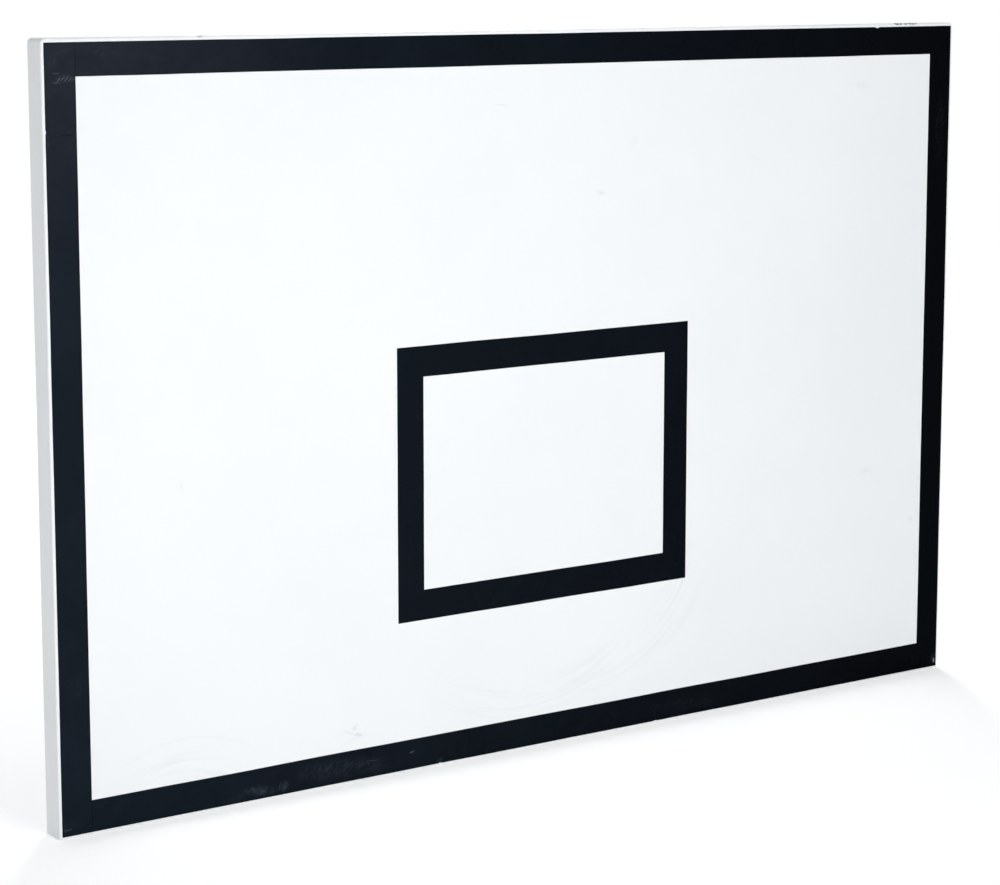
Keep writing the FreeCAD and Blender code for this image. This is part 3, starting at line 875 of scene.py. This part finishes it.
for name, middle in zip(bushNames, bushMiddles):
    makePiece(name, bushShape(name, middle), steelFinish, sharp=35)
nutLow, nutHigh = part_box("ring_weld_nuts")
nutReach, nutHalf = nut["acrossFlats"] / math.sqrt(3), nut["acrossFlats"] / 2
nutMiddles = [(x, z) for x in (nutLow.x + nutReach, nutHigh.x - nutReach)
              for z in (nutLow.z + nutHalf, nutHigh.z - nutHalf)]
nuts = joined([nutShape(middle, nutLow.y, nutHigh.y) for middle in nutMiddles])
makePiece("ring_weld_nuts", nuts, steelFinish, sharp=28)
print("bushes and nuts turned")


# grey sealant: smoothed with a finger, so slightly hollow and uneven along its edges
sealant = {
    "colour": (0.34, 0.35, 0.36, 1), "shade": (0.25, 0.26, 0.27, 1), "metal": 0.0,
    "cloud": ((40, 5, 0.65), (0.35, 0.7)), "roughness": ((90, 3), (0.3, 0.7, 0.42, 0.62)),
    "bumpGrain": (180, 4, 0.6), "bump": (0.25, 0.6 * mm),
    "foot": 5.0 * mm, "footWander": (0.15, 55 * mm), "rise": 6.0 * mm, "riseWander": (0.09, 75 * mm),
    "hollow": 0.63 * mm, "hollowSteps": 9, "step": 4 * mm, "short": 30 * mm, "endReach": 7 * mm,
    "root": [(-0.4 * mm, 3.0 * mm), (-2.8 * mm, 0.3 * mm), (-2.8 * mm, -0.3 * mm), (1.0 * mm, -0.3 * mm)],
}


def sealantBead(x, side, bottom, top, seed):
    # hollow three-cornered section carried up beside an upright, rounded at the ends
    along = np.linspace(0, top - bottom, int((top - bottom) / sealant["step"]))
    share = np.linspace(0, 1, sealant["hollowSteps"])
    ends = beadEnds(along, sealant["endReach"])
    foot = ends * sealant["foot"] * wandering(along, sealant["footWander"], seed)
    rise = ends * sealant["rise"] * wandering(along, sealant["riseWander"], seed + 1)
    dip = ends * sealant["hollow"] * np.sin(np.pi * share)
    root = np.array(sealant["root"])
    a = withRoot(foot * (1 - share) - dip, root[:, 0])
    b = withRoot(rise * share - dip, root[:, 1])
    start = (x + side * tubeSize / 2, sheetBackY, bottom)
    return carried(placed(start, upwards, (side, 0, 0), backwards, along, a, b))


sealantFinish = makePlainFinish("greySealant", sealant)
for number, (place, x) in enumerate(zip(uprightPlaces, uprightX)):
    beads = []
    for side in signs:
        besidePlate = abs(x) < plateHigh.x + tubeSize and side * x < 0
        bottom = (plateHigh.z if besidePlate else -bayTop) + sealant["short"]
        beads.append(sealantBead(x, side, bottom, bayTop - sealant["short"], 70 + 5 * number + side))
    makePiece("sealant_" + place, joined(beads), sealantFinish, sharp=60)
print("sealant laid")


# damping mats: stuck-on rubber with pressed diamonds
mats = {
    "colour": (0.026, 0.026, 0.028, 1), "dust": (0.058, 0.057, 0.054, 1), "pressed": (0.009, 0.009, 0.010, 1),
    "dusty": ((12, 6, 0.7, 0.3), (0.42, 0.78)), "roughness": ((60, 4), (0.3, 0.7, 0.58, 0.80)),
    "bumpGrain": (520, 4, 0.65), "bump": (0.3, 0.5 * mm), "grooveShade": 0.85,
    "pitch": 24 * mm, "groove": 1.5 * mm, "grooveWidth": 3.0 * mm, "grooveEnd": 6 * mm,
    "edge": 1.8 * mm, "step": 2.5 * mm, "edgeBand": 4 * mm,
    "edgeLines": (0, 0.1 * mm, 0.35 * mm, 0.9 * mm, 1.8 * mm), "count": 5,
}


def makeMatFinish(use):
    finish, tree, shader = newFinish("dampingRubber")
    place = objectPlace(tree)
    colour = blend(tree, textured(tree, place, use["dusty"]), use["colour"], use["dust"])
    x, z = partOf(tree, place, "X"), partOf(tree, place, "Z")
    half = use["pitch"] / 2
    for kind in ("ADD", "SUBTRACT"):  # painted shade: the pressed lines are drawn darker
        diagonal = times(tree, sums(tree, kind, x, z), halfRoot)
        offLine = sums(tree, "PINGPONG", diagonal, half)
        line = span(tree, offLine, half - use["grooveWidth"], half, 0.0, use["grooveShade"])
        colour = blend(tree, line, colour, use["pressed"])
    coat(tree, shader, colour, textured(tree, place, use["roughness"]))
    roughen(tree, shader, grain(tree, place, *use["bumpGrain"]), *use["bump"])
    return finish


def matLines(first, last):
    # grid lines close together at the cut edges, even between them
    near, band = np.array(mats["edgeLines"]), mats["edgeBand"]
    between = np.linspace(first + band, last - band, int((last - first) / mats["step"]))
    return np.concatenate([first + near, between, last - near[::-1]])


def matShape(name):
    # height over the sheet: full thickness less grooves along two diagonals, rounded off at the cut edges;
    # a fan of faces about the middle closes the back
    low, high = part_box(name)
    lineX, lineZ = matLines(low.x, high.x), matLines(low.z, high.z)
    x, z = np.meshgrid(lineX, lineZ, indexing="ij")
    fromEdge = np.minimum.reduce([x - low.x, high.x - x, z - low.z, high.z - z])
    rounded = np.sqrt(1 - (1 - np.clip(fromEdge / mats["edge"], 0, 1)) ** 3)
    groove = 0
    for diagonal in ((x + z) * halfRoot, (x - z) * halfRoot):
        offLine = np.abs(np.mod(diagonal, mats["pitch"]) - mats["pitch"] / 2)
        groove = np.maximum(groove, np.exp(-(offLine / mats["grooveWidth"]) ** 2))
    pressed = mats["groove"] * groove * np.clip(fromEdge / mats["grooveEnd"], 0, 1)
    height = ((high.y - low.y) - pressed) * rounded
    front = stacked(x, low.y + sheetWave(x, z) + height, z).reshape(-1, 3)
    middle = stacked((low.x + high.x) / 2, low.y, (low.z + high.z) / 2)
    number = np.arange(x.size).reshape(x.shape)
    rim = np.concatenate([number[:-1, 0], number[-1, :-1], number[:0:-1, -1], number[0, :0:-1]])
    fan = np.stack([rim, np.roll(rim, -1), np.full(len(rim), x.size)], -1)
    return np.concatenate([front, middle[None]]), gridFaces(*x.shape).tolist() + fan.tolist()


matFinish = makeMatFinish(mats)
for number in range(1, mats["count"] + 1):
    node = "damping_mat_" + str(number)
    makePiece(node, matShape(node), matFinish, sharp=60)
print("damping mats laid")


# floor, lights and camera
studio = {
    "floor": (0.88, 0.88, 0.88, 1), "floorRoughness": 0.9, "floorGap": 0.2 * mm, "floorReach": 150.0,
    "glowNear": 0.36, "glowFar": 0.68, "glowReach": (1.5, 4.0),
    "sky": (0.945, 0.975, 1.0, 1), "worldStrength": 0.40, "white": (1, 1, 1, 1),
    # name, place, aim, width, height, watts
    "lamps": [
        ("leftPanel", (-0.4, -3.3, 0.15), (-1.0, 0.0, -0.2), 1.2, 1.6, 60.6),
        ("frontPanel", (1.2, -5.0, 0.5), (-0.6, 0.0, 0.2), 0.7, 0.8, 8),
        ("sidePanel", (-4.2, 0.1, 0.3), (-0.9, 0.0, 0.0), 1.2, 1.2, 26),
        ("backPanel", (1.9, 3.1, 2.3), (0.0, 0.0, -0.1), 1.2, 1.2, 88),
        ("topPanel", (0.25, -0.35, 2.2), (0.25, -0.03, 0.6), 1.6, 0.5, 6),
    ],
}
camera = {"place": (-2.5938, -3.6812, 0.7121), "yaw": -34.528, "pitch": -8.410,
          "lens": 98.06, "sensor": 36, "shift": -0.080, "sight": 400}


def seenByCamera(tree):
    # 1 for what the camera sees straight, in a reflection or through glass
    path = put(tree, "LightPath").outputs
    return largest(tree, [path["Is Camera Ray"], path["Is Glossy Ray"], path["Is Transmission Ray"]])


def makeFloor():
    reach = studio["floorReach"]
    level = cadLow.z - studio["floorGap"]
    corners = [(x * reach, y * reach, level) for x, y in ((-1, -1), (1, -1), (1, 1), (-1, 1))]
    mesh = bpy.data.meshes.new("studioFloor")
    mesh.from_pydata(corners, [], [(0, 1, 2, 3)])
    finish, tree, shader = newFinish("paleFloor")
    shader.inputs["Base Color"].default_value = studio["floor"]
    shader.inputs["Roughness"].default_value = studio["floorRoughness"]
    shader.inputs["Specular IOR Level"].default_value = 0.0
    shader.inputs["Emission Color"].default_value = studio["white"]
    away = lengthOf(tree, objectPlace(tree))
    # less glow where the lamps reach
    glow = span(tree, away, *studio["glowReach"], studio["glowNear"], studio["glowFar"])
    tree.links.new(times(tree, seenByCamera(tree), glow), shader.inputs["Emission Strength"])
    mesh.materials.append(finish)
    floor = bpy.data.objects.new("studioFloor", mesh)
    scene.collection.objects.link(floor)


def makeWorld():
    world = bpy.data.worlds.new("studioWorld")
    world.use_nodes = True
    tree = world.node_tree
    background = tree.nodes["Background"]
    seen = seenByCamera(tree)
    strength = span(tree, seen, 0, 1, studio["worldStrength"], 1.0, "LINEAR")
    tree.links.new(blend(tree, seen, studio["sky"], studio["white"]), background.inputs["Color"])
    tree.links.new(strength, background.inputs["Strength"])
    scene.world = world


def makeLamp(name, place, aim, width, height, watts):
    lamp = bpy.data.lights.new(name, "AREA")
    lamp.shape = "RECTANGLE"
    lamp.size, lamp.size_y, lamp.energy = width, height, watts
    holder = bpy.data.objects.new(name, lamp)
    holder.location = place
    holder.rotation_euler = (Vector(aim) - Vector(place)).to_track_quat("-Z", "Y").to_euler()
    scene.collection.objects.link(holder)


makeFloor()
makeWorld()
for lamp in studio["lamps"]:
    makeLamp(*lamp)
eye = bpy.data.objects.new("camera", bpy.data.cameras.new("camera"))
eye.location = camera["place"]
eye.rotation_euler = (math.radians(90 + camera["pitch"]), 0, math.radians(camera["yaw"]))
eye.data.sensor_width = camera["sensor"]
eye.data.lens = camera["lens"]
eye.data.shift_y = camera["shift"]
eye.data.clip_end = camera["sight"]
scene.collection.objects.link(eye)
scene.camera = eye
print("studio set")
